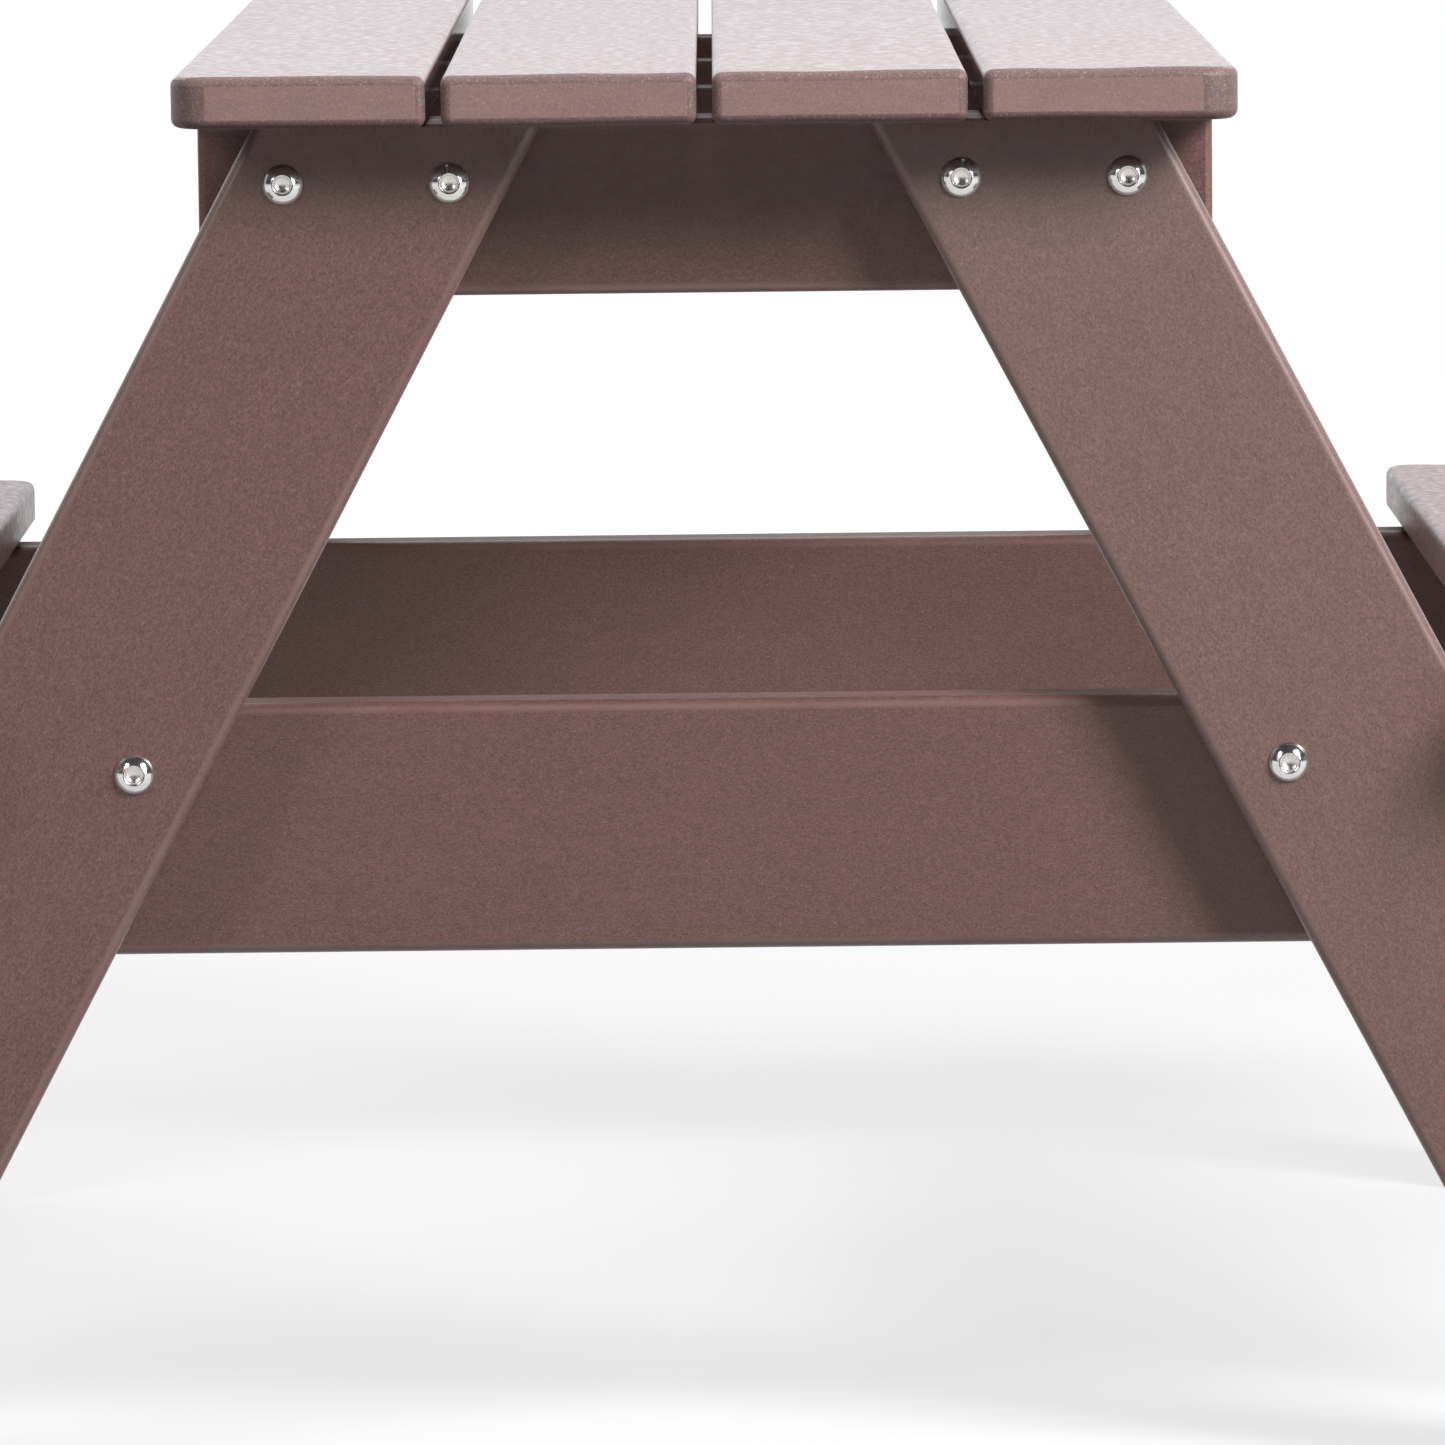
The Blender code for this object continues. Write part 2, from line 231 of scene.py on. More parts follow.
def grained(tree, space, color, grain, speckle, scales):
    """color with mottling in the noise cells of `scales`, each with its share of `grain`, and with light and
    dark specks."""
    gain = 1.0
    for scale, share in scales:
        part = noise_of(tree, space, scale, 3.0, 0.65, 0.3)
        part = spread(tree, part, 0.3, 0.7, 1 - grain * share, 1 + grain * share)
        gain = math_node(tree, "MULTIPLY", part, gain)
    gray = node(tree, "CombineColor", {0: gain, 1: gain, 2: gain}).outputs[0]
    tone = mixed(tree, 1.0, (*color, 1), gray, "MULTIPLY")
    apart = node(tree, "VectorMath", {0: space, 1: (0.37, 0.19, 0.53)}).outputs[0]
    pale = math_node(tree, "MULTIPLY", specks(tree, space, (700, 1100, 1100), 0.60, 0.70), speckle)
    dark = math_node(tree, "MULTIPLY", specks(tree, apart, (600, 900, 900), 0.64, 0.74), speckle * 0.25)
    tone = mixed(tree, pale, tone, (*(c * 1.5 + 0.06 for c in color), 1))
    return mixed(tree, dark, tone, (*(c * 0.6 for c in color), 1))


def relief(tree, space, ripple, fine):
    """Embossed ripples along the grain and a finer roughness, of these heights in mm."""
    ripples = noise_of(tree, space, (240, 260, 260), 2.0, 0.6, 0.3)
    grit = noise_of(tree, space, (900, 1500, 1500), 2.0, 0.6)
    ripples = math_node(tree, "MULTIPLY", ripples, ripple)
    height = math_node(tree, "ADD", ripples, math_node(tree, "MULTIPLY", grit, fine))
    return node(tree, "Bump", {"Height": height, "Distance": MM, "Strength": 1.0}).outputs[0]


def edge_highlight_and_polish(tree, space):
    """1 in patches along the rounded edges of a bar, with a painted highlight and a rubbing polish, and 0
    elsewhere.
    """
    parts = node(tree, "SeparateXYZ", {0: grain_place(tree)}).outputs
    half_width = node(tree, "Attribute", attribute_name="half_width").outputs["Fac"]
    inside = math_node(tree, "SUBTRACT", half_width, math_node(tree, "ABSOLUTE", parts[1]))
    outer = spread(tree, inside, 0.6 * MM, 2.2 * MM, 0, 1, True)
    inner = spread(tree, inside, 2.6 * MM, 4.4 * MM, 1, 0, True)
    patches = spread(tree, noise_of(tree, space, (14, 60, 60), 3.0, 0.6), 0.35, 0.6, 0.3, 1)
    return math_node(tree, "MULTIPLY", math_node(tree, "MULTIPLY", outer, inner), patches)


def wax(shader, specular, coat_roughness, coat):
    """The waxy skin of polyethylene: dull from the front, with a clear sheen at a grazing view."""
    shader.inputs["Specular IOR Level"].default_value = specular
    shader.inputs["Coat Weight"].default_value = coat
    shader.inputs["Coat IOR"].default_value = 1.33
    shader.inputs["Coat Roughness"].default_value = coat_roughness


def skin_material(name, color, roughness, roughing, grain, speckle, ripple, drawn=False, coat=1.0,
                  coat_roughness=0.35):
    """The long faces of recycled-plastic lumber. A drawn skin has rounded edges with a painted highlight and
    a rubbing polish, and fine lines from the extrusion die that spread its gloss across the grain."""
    material, tree, shader = new_material(name)
    space = grain_space(tree)
    scales = (
        ((6, 16, 16), 0.15), ((30, 90, 90), 0.15), ((300, 400, 400), 0.3), ((600, 900, 900), 0.6),
        ((1200, 1700, 1700), 1.5),
    )
    tone = grained(tree, space, color, grain, speckle, scales)
    rub = noise_of(tree, space, (180, 260, 260), 3.0, 0.6)
    gloss = spread(tree, rub, 0.35, 0.65, roughness - roughing, roughness + roughing)
    if drawn:
        highlight_and_polish = edge_highlight_and_polish(tree, space)
        # painted highlight: the rounded edges paler and less coloured in patches
        tone = mixed(tree, highlight_and_polish, tone, (*(c * EDGE_HIGHLIGHT_GAIN + EDGE_HIGHLIGHT_HAZE for c in color), 1))
        gloss = math_node(tree, "SUBTRACT", gloss, math_node(tree, "MULTIPLY", highlight_and_polish, RUBBED_POLISH))
    tree.links.new(tone, shader.inputs["Base Color"])
    tree.links.new(gloss, shader.inputs["Roughness"])
    wax(shader, 0.55 if drawn else 0.25, coat_roughness, coat)
    if drawn:
        shader.inputs["Anisotropic"].default_value = 0.8
        across = node(tree, "Attribute", attribute_name="across_grain")
        tree.links.new(across.outputs["Vector"], shader.inputs["Tangent"])
    tree.links.new(relief(tree, space, ripple, 0.035), shader.inputs["Normal"])
    return material


def end_material(name, sawn, routed, grain, speckle):
    """The ends of lumber: a sawn face with streaks across it, and around it the speckled roundover that a
    router cut. The seam between them is ragged."""
    material, tree, shader = new_material(name)
    space = grain_space(tree)
    parts = node(tree, "SeparateXYZ", {0: grain_place(tree)}).outputs
    slant = node(tree, "Attribute", attribute_name="slant").outputs["Fac"]
    upright = math_node(tree, "SUBTRACT", parts[0], math_node(tree, "MULTIPLY", parts[1], slant))
    along = math_node(tree, "ABSOLUTE", upright)
    half_length = node(tree, "Attribute", attribute_name="half_length").outputs["Fac"]
    depth = math_node(tree, "SUBTRACT", half_length, along)
    chips = noise_of(tree, space, (500, 1400, 1400), 3.0, 0.7)
    seam = spread(tree, chips, 0.3, 0.7, 0, 0.05 * MM)
    face = spread(tree, math_node(tree, "SUBTRACT", depth, seam), -0.01 * MM, 0.03 * MM, 1, 0)
    streaks = (((200, 30, 120), 0.5), ((300, 120, 700), 0.3), ((1100, 1300, 1300), 1.3))
    mottle = (((200, 400, 400), 0.5), ((1100, 1500, 1500), 1.8))
    tone = mixed(tree, face, grained(tree, space, routed, grain * 1.6, speckle, mottle),
                 grained(tree, space, sawn, grain, speckle * 0.3, streaks))
    tree.links.new(tone, shader.inputs["Base Color"])
    tree.links.new(spread(tree, face, 0, 1, 0.52, 0.62), shader.inputs["Roughness"])
    wax(shader, 0.25, 0.6, 0.6)
    tree.links.new(relief(tree, space, 0.05, 0.09), shader.inputs["Normal"])
    return material


def steel_material(name, color, roughness):
    """Polished stainless steel with faint turning marks and small differences in polish."""
    material, tree, shader = new_material(name)
    place = node(tree, "TexCoord").outputs["Object"]
    shader.inputs["Metallic"].default_value = 1.0
    cloud = noise_of(tree, place, (900, 900, 900), 3.0)
    tint = mixed(tree, spread(tree, cloud, 0.3, 0.7, 0, 1), (*color, 1), (*(c * 0.9 for c in color), 1))
    tree.links.new(tint, shader.inputs["Base Color"])
    polish = noise_of(tree, place, (1600, 1600, 300), 3.0)
    gloss = spread(tree, polish, 0.3, 0.7, roughness * 0.75, roughness * 1.3)
    tree.links.new(gloss, shader.inputs["Roughness"])
    parts = node(tree, "SeparateXYZ", {0: place})
    flat = node(tree, "CombineXYZ", {0: parts.outputs[0], 1: parts.outputs[1]}).outputs[0]
    radius = node(tree, "VectorMath", {0: flat}, operation="LENGTH").outputs["Value"]
    rings = noise_of(tree, node(tree, "CombineXYZ", {0: radius}).outputs[0], (9000, 1, 1), 2.0)
    bump = node(tree, "Bump", {"Height": rings, "Distance": 0.004 * MM, "Strength": 1.0})
    tree.links.new(bump.outputs[0], shader.inputs["Normal"])
    return material


# The materials of a kind of lumber: 0 its skin, 1 its ends, 2 the flats of its narrow sides if they differ
BOARD_END = end_material("board_end", BOARD_SAWN_COLOR, BOARD_ROUTED_COLOR, grain=0.12, speckle=1.6)
TABLETOP = [
    skin_material(
        "board_skin", BOARD_COLOR, roughness=0.44, roughing=0.16, grain=0.20, speckle=0.3, ripple=0.95,
    ),
    BOARD_END,
    # darker narrow sides: painted shade of the gaps between the boards
    skin_material(
        "board_side_painted_shade", BOARD_SIDE_SHADE_COLOR, roughness=0.6, roughing=0.06, grain=0.20, speckle=0.3, ripple=0.1,
        coat_roughness=0.14,
    ),
]
SEAT = [
    skin_material(
        "seat_skin", BOARD_COLOR, roughness=0.50, roughing=0.16, grain=0.20, speckle=0.3, ripple=0.80,
        coat=0.7,
    ),
    BOARD_END,
]
FRAME = [
    skin_material(
        "frame_skin", FRAME_COLOR, roughness=0.52, roughing=0.06, grain=0.33, speckle=0.5, ripple=0.07,
        drawn=True,
    ),
    end_material("frame_end", FRAME_SAWN_COLOR, FRAME_ROUTED_COLOR, grain=0.16, speckle=0.5),
    skin_material(
        "frame_planed", FRAME_COLOR, roughness=0.70, roughing=0.06, grain=0.33, speckle=0.5, ripple=0.07,
        coat=0.2,
    ),
]
POLISHED = steel_material("stainless_polished", (0.66, 0.655, 0.65), 0.13)
# The socket's steel is darker than the polished head: painted shade inside the recess; its rougher polish is
# its own
SOCKET_SHADE_STEEL = steel_material("stainless_socket_shaded", (0.60, 0.57, 0.54), 0.28)
# Dark steel for the flat ring round each countersink: painted shade at the step there
RING_SHADE_STEEL = steel_material("stainless_ring_shade", (0.10, 0.09, 0.085), 0.35)
SCREW_STEEL = steel_material("stainless_screw", (0.5, 0.495, 0.49), 0.3)


# ---------------------------------------------------------------- mesh tools

def mesh_of(bm, name, materials):
    mesh = bpy.data.meshes.new(name)
    bm.to_mesh(mesh)
    bm.free()
    for material in materials:
        mesh.materials.append(material)
    return mesh


def link(obj):
    bpy.context.scene.collection.objects.link(obj)
    return obj


def settle(obj):
    """Applies an object's modifiers to its mesh."""
    bpy.context.view_layer.update()
    graph = bpy.context.evaluated_depsgraph_get()
    mesh = bpy.data.meshes.new_from_object(obj.evaluated_get(graph))
    obj.modifiers.clear()
    obj.data = mesh


def combine(obj, cutter, operation="DIFFERENCE"):
    """A Boolean with another object, which is then removed."""
    modifier = obj.modifiers.new("combine", "BOOLEAN")
    modifier.operation = operation
    modifier.object = cutter
    modifier.solver = "EXACT"
    settle(obj)
    bpy.data.objects.remove(cutter)


def tag(mesh, **values):
    """Stores a number for the whole mesh, which its materials read."""
    for name, value in values.items():
        layer = mesh.attributes.new(name, "FLOAT", "POINT")
        layer.data.foreach_set("value", [value] * len(mesh.vertices))


def tag_grain(mesh, across):
    """Stores each point's place in the grain, and the direction across the grain."""
    count = len(mesh.vertices)
    places = [0.0] * (3 * count)
    mesh.vertices.foreach_get("co", places)
    for name, values in (("grain_place", places), ("across_grain", list(across) * count)):
        mesh.attributes.new(name, "FLOAT_VECTOR", "POINT").data.foreach_set("vector", values)


def turned(name, profile, steps, materials=()):
    """A closed shape turned about Z from (radius, height) points, given from the top down its outer side."""
    bm = bmesh.new()
    verts = [bm.verts.new((radius, 0, height)) for radius, height in profile]
    edges = [bm.edges.new(pair) for pair in zip(verts, verts[1:])]
    bmesh.ops.spin(
        bm, geom=verts + edges, cent=(0, 0, 0), axis=(0, 0, 1), angle=math.tau, steps=steps, use_merge=True
    )
    bmesh.ops.remove_doubles(bm, verts=bm.verts, dist=0.001 * MM)
    bmesh.ops.recalc_face_normals(bm, faces=bm.faces)
    return link(bpy.data.objects.new(name, mesh_of(bm, name, materials)))


def hexagon(name, across_flats, bottom, top):
    """A hexagonal bar along Z."""
    bm = bmesh.new()
    radius = across_flats / 2 / math.cos(math.radians(30))
    place = Matrix.Translation((0, 0, (bottom + top) / 2))
    bmesh.ops.create_cone(
        bm, cap_ends=True, segments=6, radius1=radius, radius2=radius, depth=top - bottom, matrix=place
    )
    return link(bpy.data.objects.new(name, mesh_of(bm, name, ())))


def smooth(mesh, degrees=30):
    """Shades a mesh smooth, apart from its edges over this angle."""
    mesh.shade_smooth()
    mesh.set_sharp_from_angle(angle=math.radians(degrees))


def crisp_borders(mesh):
    """Makes an edge sharp where two materials meet."""
    seen = {}
    for face in mesh.polygons:
        for key in face.edge_keys:
            seen.setdefault(key, set()).add(face.material_index)
    sharp = mesh.attributes["sharp_edge"].data
    for i, edge in enumerate(mesh.edges):
        if len(seen.get(edge.key, ())) > 1:
            sharp[i].value = True


# ---------------------------------------------------------------- lumber

def round_off(bm, edges, radius):
    """Rounds sharp edges. The new faces take the material of their neighbours."""
    bmesh.ops.bevel(
        bm, geom=edges, offset=radius, segments=ROUND_SEGMENTS, affect="EDGES", profile=0.5, material=-1,
        clamp_overlap=True,
    )


def lumber_solid(size, edge, rounded=(), shear=0.0, end_edge=None):
    """A bar with rounded edges. Its skin gets material 0, and its ends with their roundovers get material 1.
    rounded lists the (x sign, y sign) corners with CORNER_RADIUS; shear slants both ends; end_edge is the
    radius round the ends where it isn't that of the long edges."""
    bm = bmesh.new()
    bmesh.ops.create_cube(bm, size=1, matrix=Matrix.Diagonal((*size, 1)))
    for vert in bm.verts:
        vert.co.x += shear * vert.co.y
    upright = [e for e in bm.edges if abs(e.verts[0].co.z - e.verts[1].co.z) > size[2] / 2]
    corners = [
        e for e in upright
        if any(e.verts[0].co.x * sx > 0 and e.verts[0].co.y * sy > 0 for sx, sy in rounded)
    ]
    if corners:
        bmesh.ops.bevel(
            bm, geom=corners, offset=CORNER_RADIUS, segments=CORNER_SEGMENTS, affect="EDGES", profile=0.5,
            material=1,
        )
    if end_edge:
        long_edges = [e for e in bm.edges if abs(e.verts[0].co.x - e.verts[1].co.x) > size[0] / 2]
        round_off(bm, long_edges, edge)
        bm.normal_update()
        edge = end_edge
    round_off(bm, [e for e in bm.edges if e.calc_face_angle(0) > math.radians(35)], edge)
    bm.normal_update()
    for face in bm.faces:
        middle = face.calc_center_median()
        from_end = size[0] / 2 - abs(middle.x - shear * middle.y)
        if from_end < edge * 0.98:
            face.material_index = 1
    for vert in bm.verts:
        if all(face.material_index == 1 for face in vert.link_faces):
            vert.co.z -= math.copysign(ROUTER_STEP, vert.co.z)
    return bm


def slice_across(bm, length, parts, axis):
    """Cuts a mesh into equal parts along an axis."""
    for i in range(1, parts):
        bmesh.ops.bisect_plane(
            bm, geom=bm.verts[:] + bm.edges[:] + bm.faces[:], plane_co=axis * length * (i / parts - 0.5),
            plane_no=axis, dist=0.01 * MM,
        )


def wave(bm, size, seed, depth):
    """Cuts a board into a grid and lets its wide faces wander inwards, mostly across the grain."""
    slice_across(bm, size[1], WAVE_ROWS, Vector((0, 1, 0)))
    slice_across(bm, size[0], WAVE_COLUMNS, Vector((1, 0, 0)))
    half = size[2] / 2
    for vert in bm.verts:
        side = 1 if vert.co.z > 0 else -1
        place = Vector((vert.co.x * WAVES_ALONG, vert.co.y * WAVES_ACROSS, side * 3 + seed * 7.3))
        swing = max(-1.0, min(1.0, WAVE_SWING * noise.noise(place)))
        share = min(1.0, abs(vert.co.z) / half) ** 2
        vert.co.z -= side * share * depth * (0.5 + 0.5 * swing)


def mark_sides(bm):
    """Gives the flats of a bar's narrow sides material 2."""
    for face in bm.faces:
        if face.material_index == 0 and abs(face.normal.y) > 0.999:
            face.material_index = 2


def lumber_piece(node_name, size, place, turn, materials, edge, seed, rounded=(), shear=0.0, waves=0.0,
                 holes=None, end_edge=None):
    """The detailed piece that stands for a CAD node of lumber."""
    name = node_name + "_lumber"
    bm = lumber_solid(size, edge, rounded, shear, end_edge)
    if waves:
        wave(bm, size, seed, waves)
    if len(materials) > 2:
        mark_sides(bm)
    obj = link(bpy.data.objects.new(name, mesh_of(bm, name, materials)))
    obj.matrix_world = Matrix.Translation(place) @ turn
    if holes:
        combine(obj, holes)
    obj.data.name = name
    tag(obj.data, seed=seed * SEED_SHIFT, half_length=size[0] / 2, half_width=size[1] / 2, slant=shear)
    tag_grain(obj.data, turn.col[1].xyz)
    obj.data.transform(obj.matrix_world)
    obj.matrix_world = Matrix()
    smooth(obj.data, 40)
    crisp_borders(obj.data)
    normals = obj.modifiers.new("flat_faces", "WEIGHTED_NORMAL")
    normals.keep_sharp = True
    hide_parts(node_name)
    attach(obj, "root")


def axes(x_to, y_to):
    """The turn that takes X and Y to these directions."""
    x, y = Vector(x_to), Vector(y_to)
    z = x.cross(y)
    return Matrix((x, y, z)).transposed().to_4x4()


ALONG_Y = axes((0, 1, 0), (-1, 0, 0))       # boards: grain along the table
ALONG_X = axes((1, 0, 0), (0, 0, 1))        # beams on edge: grain across the table


def drill(bm, radius, depth, place):
    """Adds a round cutter along the Z of place."""
    bmesh.ops.create_cone(
        bm, cap_ends=True, segments=32, radius1=radius, radius2=radius, depth=depth, matrix=place
    )


def screw_places(beam):
    """Where the screws that come up through a beam sit: the middle of each bore's mouth."""
    low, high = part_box(beam)
    if beam.startswith(("crossbeam", "batten")):
        held = TABLETOP_BOARDS
    elif beam.endswith("cleat"):
        held = BENCH_BOARDS[beam.split("_")[1]]
    else:
        held = BENCH_BOARDS["left"] + BENCH_BOARDS["right"]
    for board in held:
        left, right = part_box(board)
        for offset in (-SCREW_OFFSET, SCREW_OFFSET):
            yield Vector(((left.x + right.x) / 2 + offset, (low.y + high.y) / 2, low.z))


def bores(end=None, beam=None):
    """A cutter with the eight bolt holes of one A-frame and the screws' bores in the underside of a beam."""
    bm = bmesh.new()
    for side in SIDES if end else ():
        for place in BOLT_PLACES:
            low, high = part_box(f"bolt_{end}_{side}_{place}")
            turn = Matrix.Translation((low + high) / 2) @ Matrix.Rotation(math.radians(90), 4, "X")
            drill(bm, HOLE_RADIUS, BOLT_LENGTH * 1.2, turn)
    for place in screw_places(beam) if beam else ():
        drill(bm, SCREW_HEAD_RADIUS + SCREW_BORE_PLAY, SCREW_BORE_DEPTH * 2, Matrix.Translation(place))
    return link(bpy.data.objects.new("bores", mesh_of(bm, "bores", ())))


def boards():
    """The tabletop's and benches' boards. Those at a side of the top or of a bench have two rounded corners,
    on the side that looks to this sign of the table's X."""
    outer_edge = {
        "tabletop_board_1": -1, "tabletop_board_4": 1,
        "seat_left_inner_board": 1, "seat_left_outer_board": -1,
        "seat_right_inner_board": -1, "seat_right_outer_board": 1,
    }
    for seed, name in enumerate(TABLETOP_BOARDS + BENCH_BOARDS["left"] + BENCH_BOARDS["right"]):
        low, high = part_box(name)
        size = (high.y - low.y, high.x - low.x, high.z - low.z)
        across = -outer_edge.get(name, 0)       # local +Y looks to the table's -X
        rounded = [(-1, across), (1, across)] if across else []
        materials = SEAT if name.startswith("seat") else TABLETOP
        lumber_piece(
            name, size, (low + high) / 2, ALONG_Y, materials, BOARD_EDGE_RADIUS, BOARD_SEED + seed, rounded,
            waves=BOARD_WAVE,
        )


def beams():
    """The crossbeams, seat rails, battens and cleats, with the screws that come up through them."""
    edges = {f"crossbeam_{end}": FRAME_EDGE_RADIUS for end in ENDS}
    edges.update({f"seat_rail_{end}": RAIL_EDGE_RADIUS for end in ENDS})
    edges.update({f"batten_{end}": BEAM_EDGE_RADIUS for end in ENDS})
    edges.update({f"seat_{side}_cleat": BEAM_EDGE_RADIUS for side in SIDES})
    for seed, (name, edge) in enumerate(edges.items()):
        low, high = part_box(name)
        size = (high.x - low.x, high.z - low.z, high.y - low.y)
        end = name.rsplit("_", 1)[1] if name.startswith(("crossbeam", "seat_rail")) else None
        holes = bores(end, name)
        lumber_piece(name, size, (low + high) / 2, ALONG_X, FRAME, edge, BEAM_SEED + seed, holes=holes)
        screws(name)


def legs():
    """The raked legs, cut level at both ends."""
    seed = LEG_SEED
    for end in ENDS:
        for side, sign in SIDES.items():
            name = f"leg_{end}_{side}"
            low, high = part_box(name)
            size = ((high.z - low.z) / math.cos(LEG_RAKE), FRAME_WIDTH, high.y - low.y)
            up = (-sign * math.sin(LEG_RAKE), 0, math.cos(LEG_RAKE))
            out = (math.cos(LEG_RAKE), 0, sign * math.sin(LEG_RAKE))
            lumber_piece(
                name, size, (low + high) / 2, axes(up, out), FRAME, LEG_EDGE_RADIUS, seed,
                shear=-sign * math.tan(LEG_RAKE), holes=bores(end), end_edge=LEG_END_RADIUS,
            )
            seed += 1


# ---------------------------------------------------------------- fasteners

def screws(beam):
    """The countersunk screws in the underside of a beam, as one piece."""
    head = SCREW_HEAD_RADIUS
    foot = 0.4 * MM - SCREW_BORE_DEPTH
    profile = [
        (0, -SCREW_SINK), (head - 2 * SCREW_HEAD_RIM, -SCREW_SINK), (head, -SCREW_SINK - SCREW_HEAD_RIM),
        (0.45 * head, foot), (0, foot),
    ]
    screw = turned("screw", profile, 32, [SCREW_STEEL])
    combine(screw, hexagon("drive", SCREW_DRIVE_ACROSS_FLATS, -SCREW_DRIVE_DEPTH, MM))
    smooth(screw.data)
    bm = bmesh.new()
    for i, place in enumerate(screw_places(beam)):
        upside_down = Matrix.Rotation(math.pi, 4, "X")
        spin = Matrix.Rotation(SCREW_TURN * i, 4, "Z")
        copy = screw.data.copy()
        copy.transform(Matrix.Translation(place) @ upside_down @ spin)
        bm.from_mesh(copy)
        bpy.data.meshes.remove(copy)
    bpy.data.objects.remove(screw)
    name = beam + "_screws"
    piece = link(bpy.data.objects.new(name, mesh_of(bm, name, [SCREW_STEEL])))
    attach(piece, "root")


def dome(radius, height, base, steps):
    """(radius, height) points of a spherical cap from its top to its rim."""
    sphere = (radius**2 + height**2) / (2 * height)
    reach = math.asin(radius / sphere)
    return [
        (sphere * math.sin(reach * i / steps), base + height - sphere * (1 - math.cos(reach * i / steps)))
        for i in range(steps + 1)
    ]


def bolt_mesh():
    """A button-head bolt along Z: bearing face at Z = 0, dome above with a hexagon socket, shank below."""
    lip = 0.25 * MM
    profile = dome(HEAD_RADIUS, HEAD_HEIGHT - HEAD_RIM, HEAD_RIM, 24)
    profile += [
        (HEAD_RADIUS, lip), (HEAD_RADIUS - lip, 0), (BOLT_RADIUS, 0),
        (BOLT_RADIUS, MM - BOLT_LENGTH), (BOLT_RADIUS - MM, -BOLT_LENGTH), (0, -BOLT_LENGTH),
    ]
    bolt = turned("bolt", profile, 64, [POLISHED])
    top = HEAD_HEIGHT + MM
    countersink = [
        (0, top), (LAND_RADIUS, top), (LAND_RADIUS, LAND_HEIGHT), (COUNTERSINK_RADIUS, LAND_HEIGHT),
        (COUNTERSINK_FLOOR, LAND_HEIGHT - COUNTERSINK_DEPTH), (0, LAND_HEIGHT - COUNTERSINK_DEPTH),
    ]
    combine(bolt, turned("countersink", countersink, 64))
    floor = HEAD_HEIGHT - SOCKET_DEPTH
    combine(bolt, hexagon("socket", SOCKET_ACROSS_FLATS, floor, top))
    drill_radius = SOCKET_ACROSS_FLATS / 2 * 0.98
    drill_point = [(0, floor + 0.05 * MM), (drill_radius, floor + 0.05 * MM), (0, floor - SOCKET_CONE)]
    combine(bolt, turned("drill_point", drill_point, 48))
    # darker steel inside the recess: painted shade
    bolt.data.materials.append(SOCKET_SHADE_STEEL)
    # dark steel on the flat ring round the countersink: painted shade at its step
    bolt.data.materials.append(RING_SHADE_STEEL)
    for face in bolt.data.polygons:
        radius = math.hypot(face.center.x, face.center.y)
        if 0 < face.center.z < LAND_HEIGHT + 0.01 * MM and radius < LAND_RADIUS:
            face.material_index = 1 if radius < COUNTERSINK_RADIUS else 2
    smooth(bolt.data)
    return bolt


def nut_mesh():
    """A flanged cap nut along Z: bearing face at Z = 0, chamfered hexagon, dome on top."""
    outer = NUT_ACROSS_FLATS / 2 / math.cos(math.radians(30))
    nut = hexagon("nut", NUT_ACROSS_FLATS, 0.5 * MM, NUT_HEX_HEIGHT)
    nut.data.materials.append(POLISHED)
    clear = outer + 0.1 * MM
    envelope = [
        (0, NUT_HEX_HEIGHT + MM), (outer - NUT_CHAMFER, NUT_HEX_HEIGHT), (clear, NUT_HEX_HEIGHT - 0.7 * MM),
        (clear, 0), (0, 0),
    ]
    combine(nut, turned("envelope", envelope, 48), "INTERSECT")
    body = dome(NUT_DOME_RADIUS, NUT_DOME_HEIGHT, NUT_HEX_HEIGHT, 12)
    body += [
        (NUT_DOME_RADIUS, FLANGE_THICKNESS), (FLANGE_RADIUS - 0.2 * MM, FLANGE_THICKNESS * 0.6),
        (FLANGE_RADIUS, FLANGE_THICKNESS * 0.4), (FLANGE_RADIUS, 0), (0, 0),
    ]
    combine(nut, turned("cap", body, 48, [POLISHED]), "UNION")
    bore = [(0, NUT_BORE_DEPTH), (NUT_BORE_RADIUS, NUT_BORE_DEPTH), (NUT_BORE_RADIUS, -MM), (0, -MM)]
    combine(nut, turned("bore", bore, 32))
    smooth(nut.data)
    return nut


def fasteners():
    """The bolts and nuts. Each is turned by its own angle, as they are when they have been tightened."""
    chance = random.Random(11)
    bolt, nut = bolt_mesh(), nut_mesh()
    for end, direction in ENDS.items():
        outward = Matrix.Rotation(math.radians(90 * -direction), 4, "X")
        inward = Matrix.Rotation(math.radians(90 * direction), 4, "X")
        for side in SIDES:
            for place in BOLT_PLACES:
                for kind, source, turn in (("bolt", bolt, outward), ("nut", nut, inward)):
                    cad = f"{kind}_{end}_{side}_{place}"
                    low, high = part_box(cad)
                    seat = (low + high) / 2
                    if kind == "bolt":
                        seat.y = (high.y if direction > 0 else low.y) - direction * HEAD_HEIGHT
                    else:
                        seat.y = high.y if direction > 0 else low.y
                    spin = Matrix.Rotation(chance.uniform(0, math.tau), 4, "Z")
                    piece = link(bpy.data.objects.new(cad + "_steel", source.data))
                    piece.matrix_world = Matrix.Translation(seat) @ turn @ spin
                    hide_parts(cad)
                    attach(piece, "root")
    bpy.data.objects.remove(bolt)
    bpy.data.objects.remove(nut)


# ---------------------------------------------------------------- studio

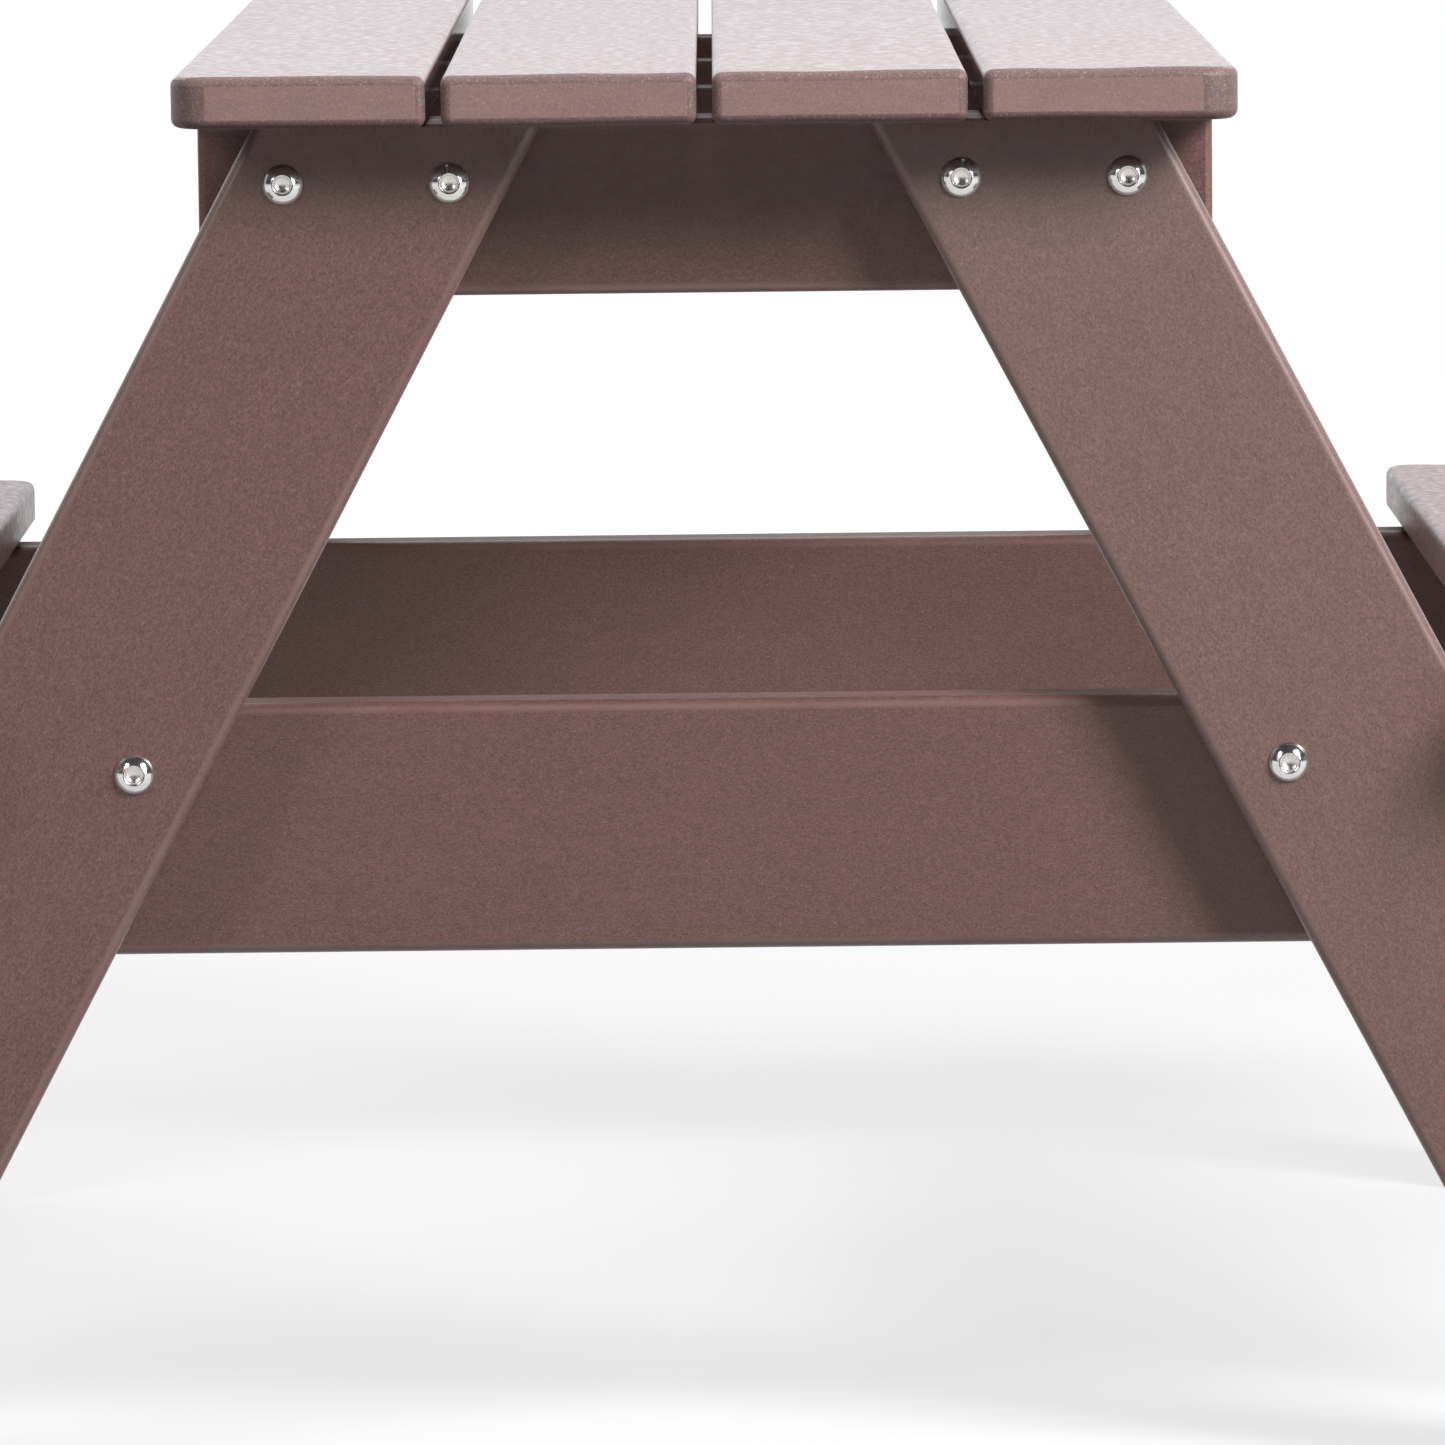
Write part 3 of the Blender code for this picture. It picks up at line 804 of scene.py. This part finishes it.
def softbox(name, azimuth, elevation, width, height, power, distance=3.0, shines=True, fills=True):
    """An area light that faces the table; azimuth 0 is in front and 90 to the right, in degrees. One that
    doesn't shine doesn't show in gloss or steel, and one that doesn't fill shows only there."""
    light = bpy.data.lights.new(name, "AREA")
    light.shape = "RECTANGLE"
    light.size, light.size_y = width, height
    light.energy = power
    obj = link(bpy.data.objects.new(name, light))
    a, e = math.radians(azimuth), math.radians(elevation)
    away = Vector((math.sin(a) * math.cos(e), -math.cos(a) * math.cos(e), math.sin(e)))
    obj.location = Vector((0, 0, LIGHTS_AIM)) + away * distance
    obj.rotation_mode = "QUATERNION"
    obj.rotation_quaternion = away.to_track_quat("Z", "Y")
    obj.visible_camera = False
    obj.visible_glossy = shines
    obj.visible_diffuse = fills


def world():
    """White to the camera. Other rays meet a bright sweep behind the table and a dim room in front of it."""
    scene_world = bpy.data.worlds.new("studio")
    scene_world.use_nodes = True
    bpy.context.scene.world = scene_world
    tree = scene_world.node_tree
    tree.nodes.clear()
    direction = node(tree, "TexCoord").outputs["Generated"]
    rays = node(tree, "LightPath").outputs
    room = spread(tree, rays["Is Diffuse Ray"], 0, 1, ROOM_SEEN, ROOM_FILL)
    sweep = spread(tree, rays["Is Diffuse Ray"], 0, 1, SWEEP_SEEN, SWEEP_FILL)
    parts = node(tree, "SeparateXYZ", {0: direction}).outputs
    level = spread(tree, parts[1], -0.1, 0.3, room, sweep, True)
    lift = math_node(tree, "MULTIPLY", rays["Is Camera Ray"], math_node(tree, "SUBTRACT", WHITE_SEEN, level))
    strength = math_node(tree, "ADD", level, lift)
    sky = node(tree, "Background", {"Color": (0.98, 0.99, 1.03, 1), "Strength": strength})
    output = tree.nodes.new("ShaderNodeOutputWorld")
    tree.links.new(sky.outputs[0], output.inputs["Surface"])


def floor():
    """White paper. Its glow keeps it nearly white under the table, lower near the table as painted shade,
    but it throws little light back up.
    """
    bm = bmesh.new()
    bmesh.ops.create_grid(bm, x_segments=1, y_segments=1, size=FLOOR_REACH)
    material, tree, shader = new_material("floor_paper")
    tree.nodes.remove(shader)
    paper = node(tree, "BsdfDiffuse", {"Color": (FLOOR_SHADE, FLOOR_SHADE, FLOOR_SHADE, 1)})
    place = node(tree, "TexCoord").outputs["Object"]
    far = node(tree, "VectorMath", {0: place}, operation="LENGTH").outputs["Value"]
    # the glow rises with distance from the table: painted shade round the table
    strength = spread(tree, far, FLOOR_NEAR, FLOOR_FAR, FLOOR_GLOW, FLOOR_GLOW_FAR, True)
    glow = node(tree, "Emission", {"Strength": strength})
    lit = node(tree, "AddShader", {0: paper.outputs[0], 1: glow.outputs[0]})
    dull = node(tree, "Emission", {"Strength": FLOOR_BOUNCE})
    bounced = node(tree, "LightPath").outputs["Is Diffuse Ray"]
    mix = node(tree, "MixShader", {0: bounced, 1: lit.outputs[0], 2: dull.outputs[0]})
    tree.links.new(mix.outputs[0], tree.nodes["Material Output"].inputs["Surface"])
    material.cycles.emission_sampling = "NONE"
    obj = link(bpy.data.objects.new("floor", mesh_of(bm, "floor", [material])))
    obj.location.z = -0.5 * MM


def camera():
    """A long lens in front of the table's near end, that looks slightly down on the tabletop."""
    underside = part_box("tabletop_board_1")[0]
    data = bpy.data.cameras.new("camera")
    data.lens = CAMERA_LENS
    data.clip_end = CAMERA_CLIP_END
    obj = link(bpy.data.objects.new("camera", data))
    place = Vector((CAMERA_OFFSET, underside.y - CAMERA_DISTANCE, underside.z + CAMERA_ABOVE_UNDERSIDE))
    tilt = Matrix.Rotation(math.radians(90) - CAMERA_PITCH, 4, "X")
    roll = Matrix.Rotation(-CAMERA_ROLL, 4, "Z")
    obj.matrix_world = Matrix.Translation(place) @ tilt @ roll
    bpy.context.scene.camera = obj


def studio():
    bpy.context.scene.view_settings.view_transform = "Standard"
    world()
    floor()
    softbox("softbox_right", azimuth=45, elevation=32, width=0.83, height=0.95, power=118)
    softbox("softbox_left", azimuth=-44, elevation=30, width=0.6, height=1.1, power=24)
    softbox("fill_top", azimuth=0, elevation=65, width=0.8, height=0.5, power=7, distance=2.0, shines=False)
    softbox("panel_right", azimuth=46, elevation=14, width=0.8, height=1.3, power=20, fills=False)
    softbox("panel_left", azimuth=-46, elevation=14, width=0.8, height=1.3, power=3, fills=False)
    camera()


boards()
beams()
legs()
fasteners()
studio()
